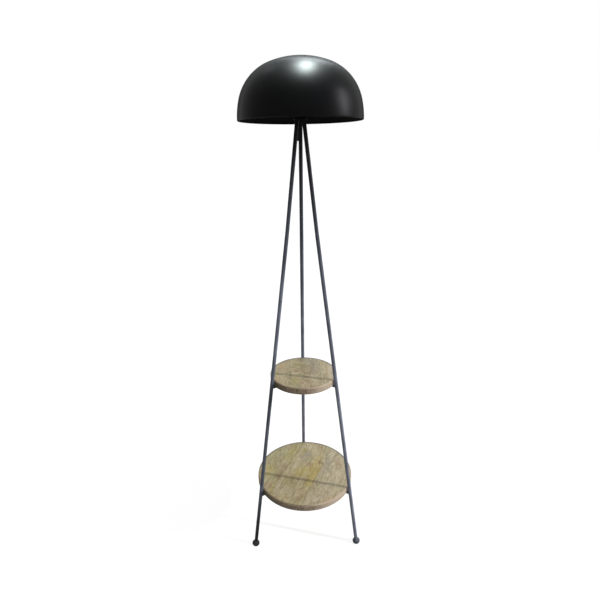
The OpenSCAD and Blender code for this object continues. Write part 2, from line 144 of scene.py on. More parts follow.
LOWER_STAINS = (
    ("pink", 0, -78, 4, 18, 50, -24, 0.45), ("dark", 0, -80, -4, 13, 44, -24, 0.5),
    ("dark", 0, -98, 40, 26, 50, -24, 0.25), ("yellow", 0, -130, 8, 22, 30, 0, 0.5),
    ("green", 0, -70, 90, 40, 40, -24, 0.35), ("yellow", 0, -46, 104, 16, 50, -24, 0.35),
    ("grey", 0, -92, 92, 12, 30, -24, 0.35), ("yellow", 0, -110, -84, 11, 20, -24, 0.7),
    ("pink", 0, -128, -66, 12, 20, -24, 0.6), ("pale", 1, -25, 46, 15, 34, -24, 0.85),
    ("pale", 1, -8, 110, 9, 44, -24, 0.5), ("grey", 1, 8, 84, 22, 34, -10, 0.85),
    ("green", 1, 14, 64, 14, 18, 0, 0.5), ("pink", 1, 18, 30, 13, 16, 0, 0.45),
    ("yellow", 1, 46, 10, 25, 92, -24, 0.85), ("orange", 1, 50, 30, 9, 46, -24, 0.35),
    ("yellow", 1, -4, -2, 46, 26, 4, 0.65), ("dark", 1, 62, 44, 7, 13, -24, 0.75),
    ("yellow", 1, 24, -74, 14, 20, -24, 0.55), ("dark", 1, 22, -82, 6, 12, -24, 0.35),
    ("pale", 1, 82, 66, 16, 26, -24, 0.8), ("green", 1, 96, 100, 14, 22, -24, 0.5),
    ("pale", 1, -96, -66, 6, 36, -24, 0.95), ("dark", 1, -24, -50, 40, 20, 0, 0.15),
    ("pale", 1, -46, 4, 12, 30, -24, 0.5), ("pale", 1, -66, -96, 26, 24, 0, 0.5),
    ("pink", 1, -22, -120, 14, 22, -24, 0.45), ("pale", 1, 10, 138, 30, 16, 0, 0.7),
    ("yellow", 1, 2, 112, 8, 34, -24, 0.6), ("grey", 2, 78, 22, 22, 54, -24, 0.55),
    ("pale", 2, 66, -74, 15, 40, -24, 0.75), ("green", 2, 96, -84, 15, 14, 0, 0.5),
    ("yellow", 2, 104, -98, 16, 18, 0, 0.35), ("pale", 2, 30, -140, 26, 16, 0, 0.6),
    ("orange", 2, 74, -142, 38, 10, 27, 0.5), ("pink", 2, 128, 36, 14, 30, 0, 0.35),
    ("pale", 2, 112, 96, 26, 26, 0, 0.6), ("bleached", 3, 96, 92, 26, 26, 0, 0.25),
    ("bleached", 3, 96, -90, 24, 24, 0, 0.3), ("bleached", 3, 34, -138, 30, 14, 0, 0.25),
    ("bleached", 3, -92, -92, 16, 30, -24, 0.25), ("bleached", 3, 32, 138, 32, 14, 0, 0.25),
)


# settings


def length(label, note, default, low, high):
    """A length setting in metres."""
    return bpy.props.FloatProperty(
        name=label, description=note, default=default, min=low, max=high,
        precision=4, step=0.01, subtype="DISTANCE", unit="LENGTH")


def share(label, note, default):
    """A setting from 0 to 1, such as a roughness."""
    return bpy.props.FloatProperty(
        name=label, description=note, default=default, min=0.0, max=1.0, subtype="FACTOR")


def turn(label, note, degrees):
    """An angle setting."""
    return bpy.props.FloatProperty(
        name=label, description=note, default=math.radians(degrees),
        subtype="ANGLE", unit="ROTATION")


def bearing(label, degrees):
    """The direction in which a lamp stands."""
    return turn(label + " azimuth", f"Direction of the {label.lower()}, from +X towards +Y", degrees)


def altitude(label, degrees):
    """How high a lamp stands."""
    return turn(label + " elevation", f"Height of the {label.lower()} above the horizon", degrees)


def power(label, default, unit="POWER"):
    """How strong a lamp is."""
    return bpy.props.FloatProperty(
        name=label + " power", description=f"Strength of the {label.lower()}", default=default,
        min=0.0, max=5000.0, unit=unit)


def paint(red, green, blue):
    """Linear colour of a paint-chip colour given from 0 to 255."""
    chip = np.array([red, green, blue]) / 255.0
    linear = np.where(chip <= 0.04045, chip / 12.92, ((chip + 0.055) / 1.055) ** 2.4)
    return tuple(float(v) for v in linear)


def colour(label, note, red, green, blue):
    """A colour setting, written as a paint-chip colour."""
    return bpy.props.FloatVectorProperty(
        name=label, description=note, default=paint(red, green, blue),
        min=0.0, max=1.0, size=3, subtype="COLOR")


class StudioSettings(bpy.types.PropertyGroup):
    """Floor, lamps and camera. Only glossy paint mirrors the strips and the back and left panels."""

    floor_colour: colour("Floor", "Colour of the studio floor", 150, 150, 150)
    wall_level: share("Wall level", "Brightness of the soft light from the room's walls", 0.26)
    ceiling_level: share("Ceiling level", "Brightness of the soft light from overhead", 0.78)
    key_power: power("Key light", 2.75, "NONE")
    key_azimuth: bearing("Key light", -14.2)
    key_elevation: altitude("Key light", 24.0)
    key_size: turn("Key light size", "Width of the hard light as the lamp sees it", 1.6)
    top_power: power("Ceiling panel", 14.0)
    top_azimuth: bearing("Ceiling panel", 80.0)
    top_elevation: altitude("Ceiling panel", 66.0)
    sheen_power: power("Ceiling strip", 850.0)
    sheen_azimuth: bearing("Ceiling strip", 42.0)
    sheen_elevation: altitude("Ceiling strip", 81.7)
    sheen_turn: turn("Ceiling strip turn", "Turn of the ceiling strip about its own middle", 47.5)
    back_power: power("Back panel", 38.0)
    back_azimuth: bearing("Back panel", 78.0)
    back_elevation: altitude("Back panel", 45.0)
    left_power: power("Left panel", 6.5)
    left_azimuth: bearing("Left panel", 136.0)
    left_elevation: altitude("Left panel", 54.0)
    side_power: power("Side strip", 115.0)
    side_azimuth: bearing("Side strip", -8.0)
    side_elevation: altitude("Side strip", 17.6)
    lens: bpy.props.FloatProperty(
        name="Lens", description="Focal length of the camera", default=26.22,
        min=1.0, max=300.0, unit="CAMERA")


class ShadeSettings(bpy.types.PropertyGroup):
    """Spun steel dome."""

    sheet: length("Sheet", "Thickness of the spun sheet", 0.001, 0.0004, 0.004)
    rim_radius: length("Rim radius", "Outer radius of the open rim", DOME_HIGH.x, 0.05, 0.5)
    rim_height: length("Rim height", "Height of the rim above the floor", DOME_LOW.z, 0.5, 3.0)
    bead: length("Rim bead", "Diameter of the bead rolled into the rim", 0.0032, 0.001, 0.01)
    skin_colour: colour("Paint", "Baked paint, outside and inside", 10, 10, 10)
    # Painted light: the inside is painted lighter than the outside paint, standing in for light inside
    # the dome.
    inside_painted_light: colour("Lining paint", "Thinner coat on the inside", 31, 29, 29)
    skin_roughness: share("Paint roughness", "Roughness of the baked paint", 0.380)
    weld: length("Spot weld", "Radius of a spot weld on the spider's tabs", 0.0026, 0.001, 0.01)


class HolderSettings(bpy.types.PropertyGroup):
    """Lampholder with its threaded ring and screw shell."""

    pitch: length("Thread pitch", "Pitch of the rolled lamp thread", 0.00362, 0.001, 0.01)
    shell_radius: length("Screw shell radius", "Middle radius of the rolled thread", 0.01378, 0.005, 0.03)
    shell_depth: length("Thread depth", "Half the depth of the rolled thread", 0.00028, 0.0, 0.001)
    plastic_colour: colour("Phenolic", "Moulded body of the lampholder", 24, 24, 25)
    ceramic_colour: colour("Ceramic", "Unglazed insert under the screw shell", 226, 221, 210)
    brass_colour: colour("Brass", "Screw shell and contact", 196, 160, 92)
    zinc_colour: colour("Zinc", "Plated nipple, washer and nut", 176, 178, 178)


class BulbSettings(bpy.types.PropertyGroup):
    """Opal lamp with a screw cap."""

    crest_radius: length("Cap crest radius", "Radius of the thread's crests", 0.0131, 0.005, 0.03)
    thread_depth: length("Thread depth", "Depth from crest to root", 0.0008, 0.0, 0.002)
    opal_colour: colour("Opal", "Diffusing globe", 236, 234, 226)
    housing_colour: colour("Housing", "Moulded collar under the globe", 226, 226, 222)
    cap_colour: colour("Cap", "Nickel-plated screw cap", 186, 186, 184)


class StandSettings(bpy.types.PropertyGroup):
    """Tube legs, hub and welds."""

    bead: length("Weld bead", "Thickness of a weld bead", 0.0024, 0.0005, 0.01)
    web_drop: length("Web drop", "Length of the web below the hub", 0.058, 0.0, 0.2)
    web_sheet: length("Web sheet", "Thickness of the web", 0.003, 0.001, 0.01)
    shaded_colour: colour("Paint, clean", "Baked paint as it comes", 13, 13, 14)
    # Painted sheen: the bluish grey that stands in for light on the tubes lower down.
    painted_sheen_colour: colour("Paint, handled", "Baked paint with a film of dust", 130, 136, 151)
    tube_roughness: share("Paint roughness", "Roughness of the tubes' paint", 0.46)


class FeetSettings(bpy.types.PropertyGroup):
    """Turned beads that the legs stand on."""

    bead_radius: length("Bead radius", "Largest radius of a foot", 0.0129, 0.004, 0.03)
    bead_half: length("Bead half height", "Half the height of a foot along its leg", 0.0093, 0.002, 0.03)
    neck_radius: length("Neck radius", "Radius of the neck that enters the tube", 0.004, 0.001, 0.01)


class ShelfSettings(bpy.types.PropertyGroup):
    """Edge-glued mango boards, their lugs and screws."""

    pale: colour("Pale wood", "Sapwood and the lightest streaks", 190, 178, 149)
    middle: colour("Middle wood", "Most of the board", 164, 152, 121)
    dark: colour("Dark wood", "Late wood lines and pores", 116, 103, 72)
    yellow: colour("Yellow wood", "Spalted streaks", 186, 168, 98)
    bleached: colour("Bleached wood", "Palest sapwood, near the rim", 212, 201, 184)
    green: colour("Green wood", "Greenish sap stain", 158, 155, 106)
    # Painted light: the pale right of a board's side, where light falls on it.
    painted_lit_side: colour("Side grain", "Pale long grain on the right of a board's edge", 182, 166, 146)
    pink: colour("Pink wood", "Reddish heart and knots", 162, 128, 104)
    grey: colour("Grey wood", "Weathered streaks", 152, 145, 130)
    orange: colour("Orange wood", "Warm stain in the sapwood", 192, 156, 116)
    rim: colour("Board edge", "Turned and oiled side of a board", 160, 141, 121)
    ring_pitch: length("Ring pitch", "Distance between grain lines", 0.0055, 0.001, 0.05)
    screw_head: length("Screw head", "Radius of a pan head", 0.00395, 0.001, 0.01)
    screw_colour: colour("Screw", "Blackened screw", 46, 46, 48)


# surfaces


def around(sides):
    """Angles once round, where the last isn't the first again."""
    return np.linspace(0.0, 2.0 * math.pi, sides, endpoint=False)


def rings_at(r, a, z):
    """Points (r cos a, r sin a, z)."""
    return np.stack([r * np.cos(a), r * np.sin(a), z + 0.0 * a], -1)


def threaded(z, a, pitch):
    """Rise and fall of a thread, cos(2 pi z / p - a)."""
    return np.cos(2.0 * math.pi * z / pitch - a)


def loft(rings, start=None, end=None, loop=False):
    """Skin over rings, where rings[i, j] is point j of ring i.

    Quads join (i, j), (i, j+1), (i+1, j+1), (i+1, j), with j taken round.
    A loop joins the last ring to the first. An open skin is closed by a fan
    from its first ring to start and one from its last ring to end, each the
    ring's own middle unless given.
    """
    count, sides = rings.shape[:2]
    i = np.arange(count if loop else count - 1)[:, None]
    j = np.arange(sides)[None, :]
    beside, above = (j + 1) % sides, (i + 1) % count
    quads = np.stack(
        [i * sides + j, i * sides + beside, above * sides + beside, above * sides + j], -1
    ).reshape(-1, 4)
    points = rings.reshape(-1, 3)
    if loop:
        return points, quads, np.empty((0, 3), int)
    first = rings[0].mean(0) if start is None else np.asarray(start, float)
    last = rings[-1].mean(0) if end is None else np.asarray(end, float)
    points = np.vstack([points, first, last])
    j, beside = j[0], beside[0]
    low = np.stack([np.full(sides, count * sides), beside, j], -1)
    top = (count - 1) * sides
    high = np.stack([np.full(sides, count * sides + 1), top + j, top + beside], -1)
    return points, quads, np.vstack([low, high])


def lathe(radii, heights, sides, start=None, end=None):
    """Profile (r, z) turned about Z: x = r cos a, y = r sin a, a from 0 to 2 pi."""
    rings = rings_at(radii[:, None], around(sides), heights[:, None])
    first = None if start is None else (0.0, 0.0, start)
    last = None if end is None else (0.0, 0.0, end)
    return loft(rings, first, last)


def seat(skin, matrix):
    """The skin with every point p moved to M p."""
    points, quads, tris = skin
    m = np.array(matrix)
    return points @ m[:3, :3].T + m[:3, 3], quads, tris


def swept(path, radius, sides, loop, ripple, ripples):
    """Round bead carried along a path.

    Point (i, j) is p(i) + r(i) (n cos b + m sin b), where b goes from 0 to
    2 pi, n and m stand square to the path and r(i) = r (1 + ripple |sin(k
    pi t)|), t being the share of the path travelled and k the ripples.
    """
    ahead = np.roll(path, -1, 0) - np.roll(path, 1, 0) if loop else np.gradient(path, axis=0)
    ahead /= np.linalg.norm(ahead, axis=1, keepdims=True)
    guide = np.where(np.abs(ahead[:, 2:3]) > 0.85, [[1.0, 0.0, 0.0]], [[0.0, 0.0, 1.0]])
    side = np.cross(ahead, guide)
    side /= np.linalg.norm(side, axis=1, keepdims=True)
    up = np.cross(side, ahead)
    travelled = np.linspace(0.0, 1.0, len(path), endpoint=not loop)
    size = radius * (1.0 + ripple * np.abs(np.sin(math.pi * ripples * travelled)))
    b = around(sides)
    ring = side[:, None] * np.cos(b)[:, None] + up[:, None] * np.sin(b)[:, None]
    return loft(path[:, None] + size[:, None, None] * ring[:, ::-1], loop=loop)


def placed(name, data):
    """A new object in the scene."""
    made = bpy.data.objects.new(name, data)
    bpy.context.scene.collection.objects.link(made)
    return made


def piece(name, skins, material, slot, body, *nodes):
    """One mesh object from several skins, riding on a body and standing for the named nodes."""
    points, faces, base = [], [], 0
    for skin_points, quads, tris in skins:
        points.append(skin_points)
        faces += (quads + base).tolist() + (tris + base).tolist()
        base += len(skin_points)
    mesh = bpy.data.meshes.new(name)
    mesh.from_pydata(np.vstack(points).tolist(), [], faces)
    mesh.validate()
    mesh.shade_smooth()
    mesh.set_sharp_from_angle(angle=math.radians(38.0))
    mesh.materials.append(material)
    made = placed(name, mesh)
    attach(made, body)
    if nodes:
        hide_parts(*nodes)


def dress(material, *nodes):
    """Gives a finish to CAD nodes that keep their own shape."""
    for node in nodes:
        target = frame["nodes"][node]
        if not target.material_slots:
            target.data.materials.append(material)
        for holder in target.material_slots:
            holder.material = material


def leg_frame(azimuth):
    """Matrix at a leg's foot, whose Z runs up the leg's axis."""
    tilt = math.atan2(FOOT_RADIUS - LEG_JOINT_RADIUS, LEG_JOINT_HEIGHT - FOOT_HEIGHT)
    about = Matrix.Rotation(math.radians(azimuth), 4, "Z")
    return about @ Matrix.Translation((FOOT_RADIUS, 0.0, FOOT_HEIGHT)) @ Matrix.Rotation(-tilt, 4, "Y")


def leg_radius(height):
    """Distance from the lamp's axis to a leg's axis at a height: two straight runs."""
    return float(np.interp(
        height, [FOOT_HEIGHT, LEG_JOINT_HEIGHT, HUB_LOW.z],
        [FOOT_RADIUS, LEG_JOINT_RADIUS, LEG_TOP_RADIUS]))


def polar(radius, azimuth, height):
    """Point at a radius, an azimuth in degrees and a height."""
    a = math.radians(azimuth)
    return np.array([radius * math.cos(a), radius * math.sin(a), height])


# finishes


class Nodes:
    """A node tree. Its methods add nodes and give back an output socket, but add gives the node."""

    def __init__(self, tree):
        self.tree = tree

    def add(self, kind, values=None, **settings):
        node = self.tree.nodes.new("ShaderNode" + kind)
        for key, value in settings.items():
            setattr(node, key, value)
        for key, value in (values or {}).items():
            self.feed(node.inputs[key], value)
        return node

    def feed(self, socket, value):
        """Links an input to another node's output, or sets it to a value."""
        if isinstance(value, bpy.types.NodeSocket):
            self.tree.links.new(value, socket)
        elif socket.type == "RGBA" and len(value) == 3:
            socket.default_value = (*value, 1.0)
        else:
            socket.default_value = value

    def turned(self, vector, angle=0.0, scale=(1.0, 1.0, 1.0)):
        return self.add("Mapping", {"Vector": vector, "Scale": scale,
                                    "Rotation": (0.0, 0.0, angle)}, vector_type="POINT").outputs[0]

    def within(self, vector, centre, size, angle):
        """The vector measured from a centre, in units of size, along turned axes."""
        return self.add("Mapping", {"Vector": vector, "Location": centre, "Scale": size,
                                    "Rotation": (0.0, 0.0, angle)}, vector_type="TEXTURE").outputs[0]

    def split(self, vector):
        return self.add("SeparateXYZ", {0: vector}).outputs

    def join(self, x, y, z):
        return self.add("CombineXYZ", {0: x, 1: y, 2: z}).outputs[0]

    def vector(self, operation, a, b=(0.0, 0.0, 0.0)):
        node = self.add("VectorMath", {0: a, 1: b}, operation=operation)
        return node.outputs["Value" if operation in ("LENGTH", "DOT_PRODUCT") else "Vector"]

    def scaled(self, vector, factor):
        return self.add("VectorMath", {0: vector, "Scale": factor}, operation="SCALE").outputs["Vector"]

    def flat_length(self, vector):
        """Length of the vector without its height."""
        x, y, _ = self.split(vector)
        return self.vector("LENGTH", self.join(x, y, 0.0))

    def noise(self, vector, scale=1.0, detail=3.0, roughness=0.5):
        return self.add("TexNoise", {"Vector": vector, "Scale": scale, "Detail": detail,
                                     "Roughness": roughness}).outputs[0]

    def clouds(self, vector, scale, detail):
        """Noise whose three channels differ."""
        return self.add("TexNoise", {"Vector": vector, "Scale": scale, "Detail": detail}).outputs[1]

    def math(self, operation, a, b=0.0, clamp=False):
        return self.add("Math", {0: a, 1: b}, operation=operation, use_clamp=clamp).outputs[0]

    def times(self, a, b, clamp=False):
        return self.math("MULTIPLY", a, b, clamp)

    def plus(self, a, b):
        return self.math("ADD", a, b)

    def minus(self, a, b):
        return self.math("SUBTRACT", a, b)

    def weigh(self, total, *terms):
        """The total and, for each term of (value, factor), their product."""
        for value, factor in terms:
            total = self.plus(total, self.times(value, factor))
        return total

    def run(self, value, start, end):
        """A straight run from start to end, for values from 0 to 1."""
        return self.add("MapRange", {0: value, 1: 0.0, 2: 1.0, 3: start, 4: end}).outputs[0]

    def fade(self, value, low, high, start=0.0, end=1.0):
        """A smooth step from start to end, for values from low to high."""
        return self.add("MapRange", {0: value, 1: low, 2: high, 3: start, 4: end},
                        interpolation_type="SMOOTHSTEP").outputs[0]

    def mix(self, factor, a, b):
        """Colour a and, by the factor, b."""
        return self.add("Mix", {0: factor, 6: a, 7: b}, data_type="RGBA").outputs[2]

    def tints(self, colour, *layers):
        """The colour under layers of (tone, value, low, high, amount).

        A layer grows to its amount as the value goes from low to high.
        """
        for tone, value, low, high, amount in layers:
            colour = self.mix(self.fade(value, low, high, 0.0, amount), colour, tone)
        return colour

    def ramp(self, value, stops):
        """Level that runs straight between stops of (value, level), for values up to 1.5."""
        reach = 1.5
        node = self.add("ValToRGB", {"Fac": self.math("DIVIDE", value, reach)})
        marks = node.color_ramp.elements
        while len(marks) < len(stops):
            marks.new(0.5)
        for mark, (at, level) in zip(marks, stops):
            mark.position = at / reach
            mark.color = (level, level, level, 1.0)
        return node.outputs["Color"]

    def relief(self, height, distance, strength, under=None):
        """A bumped normal, over another one if it is given."""
        node = self.add("Bump", {"Height": height, "Distance": distance, "Strength": strength})
        if under is not None:
            self.feed(node.inputs["Normal"], under)
        return node.outputs[0]

    def seen(self):
        """1 for what the camera sees, in a mirror or through glass too, and 0 for light on its way."""
        path = self.add("LightPath").outputs
        beyond = self.math("MAXIMUM", path["Is Glossy Ray"], path["Is Transmission Ray"])
        return self.math("MAXIMUM", path["Is Camera Ray"], beyond)


class Finish(Nodes):
    """One material with its principled shader, and the place on the lamp."""

    def __init__(self, name, **fixed):
        self.material = bpy.data.materials.new(name)
        self.material.use_nodes = True
        super().__init__(self.material.node_tree)
        self.shader = self.tree.nodes["Principled BSDF"]
        names = {"specular": "Specular IOR Level", "metallic": "Metallic",
                 "subsurface": "Subsurface Weight"}
        for key, value in fixed.items():
            self.shader.inputs[names[key]].default_value = value
        self.place = self.add("TexCoord").outputs["Object"]

    def finish(self, colour, roughness, normal=None):
        self.feed(self.shader.inputs["Base Color"], colour)
        self.feed(self.shader.inputs["Roughness"], roughness)
        if normal is not None:
            self.feed(self.shader.inputs["Normal"], normal)
        return self.material


def spun_paint(name, look):
    """Baked satin paint on spun sheet: faint rings from the spinning tool and a fine orange peel.

    The satin turns duller towards the outline, where a smoother coat would flare.
    """
    f = Finish(name, specular=0.041)
    rings = f.math("SINE", f.weigh(0.0, (f.split(f.place)[2], 900.0), (f.flat_length(f.place), 500.0),
                                   (f.noise(f.place, 14.0, 2.0), 14.0)))
    peel = f.noise(f.place, 900.0, 2.0, 0.55)
    cloud = f.noise(f.place, 9.0, 4.0, 0.6)
    dust = f.fade(f.noise(f.place, 1500.0, 1.0), 0.74, 0.80)
    outward = f.vector("DOT_PRODUCT", f.add("NewGeometry").outputs["Normal"],
                       f.vector("SUBTRACT", f.place, (0.0, 0.0, look.rim_height)))
    colour = f.mix(f.times(cloud, 0.5), look.skin_colour, paint(8, 9, 13))
    # Painted light inside the dome: the lighter inside colour.
    colour = f.mix(f.math("LESS_THAN", outward, 0.0), colour, look.inside_painted_light)
    colour = f.mix(f.times(dust, 0.05), colour, paint(150, 150, 150))
    facing = f.add("LayerWeight", {"Blend": 0.5}).outputs["Facing"]
    roughness = f.weigh(look.skin_roughness - 0.03, (cloud, 0.06), (f.fade(facing, 0.62, 0.96), 0.45))
    peeled = f.relief(peel, 0.00002, 0.35)
    return f.finish(colour, roughness, f.relief(rings, 0.000012, 0.25, peeled))


def tube_paint(name, look, film, specular=0.10):
    """Baked paint on tube, with a painted grey sheen given as (height, share) stops, standing in for
    light and shade along the tube.
    """
    f = Finish(name, specular=specular)
    streak = f.noise(f.turned(f.place, scale=(160.0, 160.0, 9.0)), 1.0, 4.0, 0.6)
    patch = f.noise(f.place, 18.0, 3.0, 0.55)
    uneven = f.weigh(0.0, (streak, 0.35), (patch, 1.25))
    film = f.times(f.ramp(f.split(f.place)[2], film), uneven, clamp=True)
    # Painted sheen over the black paint, by the stops.
    colour = f.mix(film, look.shaded_colour, look.painted_sheen_colour)
    chip = f.fade(f.noise(f.place, 260.0, 2.0), 0.74, 0.77)
    colour = f.mix(f.times(chip, 0.3), colour, paint(132, 134, 138))
    roughness = f.weigh(look.tube_roughness - 0.05, (patch, 0.16))
    peel = f.noise(f.place, 700.0, 2.0)
    return f.finish(colour, roughness, f.relief(peel, 0.00003, 0.35))


def moulded(name, tone, gloss, specular=0.3):
    """Moulded plastic: fine spark-eroded texture and faint flow marks."""
    f = Finish(name, specular=specular)
    flow = f.noise(f.turned(f.place, scale=(30.0, 30.0, 90.0)), 1.0, 3.0)
    grain = f.noise(f.place, 1260.0, 2.0)
    lighter = tuple(min(1.0, v * 1.35 + 0.004) for v in tone)
    colour = f.mix(flow, tone, lighter)
    roughness = f.weigh(gloss - 0.06, (flow, 0.14))
    return f.finish(colour, roughness, f.relief(grain, 0.00002, 0.4))


def fired(name, tone):
    """Unglazed ceramic: chalky, with fine dark specks and pin holes."""
    f = Finish(name, specular=0.25)
    body = f.noise(f.place, 160.0, 4.0)
    speck = f.fade(f.noise(f.place, 1300.0, 1.0), 0.70, 0.76)
    colour = f.mix(body, tone, tuple(v * 0.86 for v in tone))
    colour = f.mix(f.times(speck, 0.5), colour, paint(120, 104, 84))
    holes = f.weigh(body, (speck, -0.8))
    return f.finish(colour, f.fade(body, 0.2, 0.8, 0.62, 0.78), f.relief(holes, 0.00008, 0.5))


def plated(name, tone, gloss, tarnish):
    """Plated or pressed metal: drawn lines, finger marks and a little tarnish."""
    f = Finish(name, metallic=1.0)
    drawn = f.noise(f.turned(f.place, scale=(90.0, 90.0, 2600.0)), 1.0, 3.0, 0.6)
    marks = f.noise(f.place, 130.0, 4.0, 0.6)
    colour = f.mix(f.fade(marks, 0.45, 0.75), tone, tarnish)
    roughness = f.weigh(gloss - 0.05, (marks, 0.12), (drawn, 0.08))
    return f.finish(colour, roughness, f.relief(drawn, 0.00001, 0.4))


def opal(name, tone):
    """Opal globe: milky, softly speckled, a touch warmer in its cloudy parts."""
    f = Finish(name, specular=0.45, subsurface=0.15)
    f.shader.inputs["Subsurface Radius"].default_value = (0.004, 0.0035, 0.003)
    cloud = f.noise(f.place, 45.0, 4.0)
    colour = f.mix(cloud, tone, tuple(v * w for v, w in zip(tone, (0.97, 0.95, 0.9))))
    return f.finish(colour, f.fade(cloud, 0.2, 0.8, 0.24, 0.34),
                    f.relief(f.noise(f.place, 800.0, 2.0), 0.00001, 0.3))


def soft_rubber(name):
    """Matt black rubber with a bloom and a fine moulded grain."""
    f = Finish(name, specular=0.2)
    bloom = f.noise(f.place, 220.0, 3.0)
    colour = f.mix(bloom, paint(16, 16, 17), paint(34, 34, 36))
    return f.finish(colour, f.fade(bloom, 0.2, 0.8, 0.7, 0.86),
                    f.relief(f.noise(f.place, 1800.0, 2.0), 0.00003, 0.5))


class Timber(Finish):
    """Edge-glued mango planks that run along local Y after a turn.

    Grain is noise stretched along the plank; near a knot the distance across
    the plank gives way to the distance from the knot, so the same noise bends
    into broken rings. Knots: (across_mm, along_mm, radius_mm, aspect, degrees).
    """

    def __init__(self, name, look, angle, joints, knots):
        super().__init__(name, specular=0.12)
        self.look = look
        wobble = self.vector("SUBTRACT", self.clouds(self.place, 30.0, 4.0), (0.5, 0.5, 0.5))
        self.bent = self.vector("ADD", self.place, self.scaled(wobble, 0.018))
        across = self.split(self.turned(self.place, angle))[0]
        first = self.math("LESS_THAN", across, joints[0])
        last = self.math("GREATER_THAN", across, joints[1])
        self.planks = (first, self.minus(1.0, self.plus(first, last)), last)
        self.seam = 0.0
        for joint in joints:
            apart = self.math("ABSOLUTE", self.minus(across, joint))
            self.seam = self.plus(self.seam, self.fade(apart, 0.0007, 0.0002))
        differ = self.weigh(0.0, (first, 0.37), (last, 0.83))
        self.lay(self.turned(self.bent, angle), knots, differ)
        pitch = look.ring_pitch
        self.streak = self.grain((1.0 / pitch, 0.06 / pitch, 0.6 / pitch), 5.0, 0.66)
        self.fibre = self.grain((1900.0, 70.0, 1200.0), 2.0, 0.6)
        self.pores = self.fade(self.grain((1050.0, 120.0, 1050.0), 1.0), 0.66, 0.72)
        self.hue = self.noise(self.vector("ADD", self.bent, self.join(differ, 4.7, 1.3)), 34.0, 5.0, 0.62)
        self.curl = self.noise(self.turned(self.place, angle + 0.5, (260.0, 90.0, 90.0)), 1.0, 3.0, 0.6)

    def lay(self, wavy, knots, differ):
        """The grain's own place: across, along and through the planks, bent round the knots."""
        self.lane, self.reach, self.rise = self.split(wavy)
        self.ringed = 0.0
        for u, v, size, aspect, degrees in knots:
            gap = self.within(wavy, (u * MM, v * MM, 0.0), (1.0, aspect, 1.0), math.radians(degrees))
            gx, gy, _ = self.split(gap)
            far = self.flat_length(gap)
            near = self.fade(far, size * MM, size * 0.4 * MM)
            self.lane = self.between(near, self.lane, far)
            self.reach = self.between(near, self.reach, self.weigh(0.0, (gx, 7.0), (gy, 9.0)))
            self.ringed = self.math("MAXIMUM", self.ringed, near)
        self.lane = self.plus(self.lane, differ)
        self.reach = self.weigh(self.reach, (differ, 3.1))

    def between(self, part, a, b):
        """a (1 - part) + b part."""
        return self.plus(self.times(a, self.minus(1.0, part)), self.times(b, part))

    def grain(self, scales, detail, roughness=0.5):
        """Noise in the grain's own place, with a scale for each of its axes."""
        axes = (self.lane, self.reach, self.rise)
        return self.noise(self.join(*map(self.times, axes, scales)), 1.0, detail, roughness)

    def face(self, top, bases, stains):
        """Colour of the faces. Bases tint the first, middle and last plank: (tone, amount)."""
        look = self.look
        broad = self.grain((44.0, 15.0, 20.0), 3.0)
        colour = self.mix(self.fade(broad, 0.35, 0.66), look.middle, look.pale)
        for plank, (tone, amount) in zip(self.planks, bases):
            colour = self.mix(self.times(plank, amount), colour, getattr(look, tone))
        colour = self.tints(colour, (look.green, self.hue, 0.53, 0.68, 0.6),
                            (look.pink, self.hue, 0.46, 0.32, 0.5))
        for tone, where, u, v, wide, tall, degrees, amount in stains:
            local = self.within(self.bent, (u * MM, v * MM, top), (wide * MM, tall * MM, 1.0),
                                math.radians(degrees))
            stain = self.fade(self.flat_length(local), 1.3, 0.6, 0.0, amount)
            if where < len(self.planks):
                stain = self.times(stain, self.planks[where])
            colour = self.mix(stain, colour, getattr(look, tone))
        late = self.times(self.fade(self.streak, 0.54, 0.38, 0.0, 0.55),
                          self.weigh(0.80, (self.ringed, 0.60)), clamp=True)
        fleck = self.grain((150.0, 52.0, 1.0), 3.0, 0.7)
        colour = self.tints(
            self.mix(late, colour, look.dark),
            (look.pale, self.streak, 0.55, 0.70, 0.5), (look.dark, self.curl, 0.60, 0.40, 0.26),
            (look.pale, fleck, 0.50, 0.66, 0.55), (look.dark, fleck, 0.46, 0.34, 0.42))
        colour = self.mix(self.times(self.fibre, 0.18), colour, look.dark)
        colour = self.mix(self.times(self.pores, 0.55), colour, look.dark)
        return self.mix(self.times(self.seam, 0.6), colour, paint(74, 56, 38))

    def grime_and_painted_light(self, colour, radius):
        """Along the rim: grime behind, a painted highlight in front where the eased edge catches the
        light, and a dark line at its left as painted shade.
        """
        x, y, _ = self.split(self.place)
        out = self.flat_length(self.place)
        behind = self.fade(y, -0.02, 0.05, 0.0, 0.8)
        # Painted highlight: a pale line near the front of the rim.
        in_front = self.fade(y, 0.02, -0.02, 0.0, 0.5)
        # Painted shade: a dark line along the left front of the rim.
        at_left = self.times(self.fade(y, 0.0, -0.03), self.fade(x, 0.045, -0.01, 0.0, 0.85))
        for where, start, end, tone in ((behind, 0.0100, 0.0030, paint(102, 98, 100)),
                                        (in_front, 0.0075, 0.0045, paint(198, 178, 158)),
                                        (at_left, 0.0060, 0.0048, paint(98, 82, 58))):
            part = self.times(self.fade(out, radius - start, radius - end), where)
            colour = self.mix(part, colour, tone)
        return colour

    def edge(self, colour, top, radius):
        """The turned side of the board: painted light on its right, painted shade on its left and towards
        its bottom, and a painted highlight on its rounded corner in front.
        """
        look = self.look
        x, y, z = self.split(self.place)
        darker = tuple(v * 0.5 for v in look.rim)
        tone = self.mix(self.fade(self.streak, 0.60, 0.38), look.rim, darker)
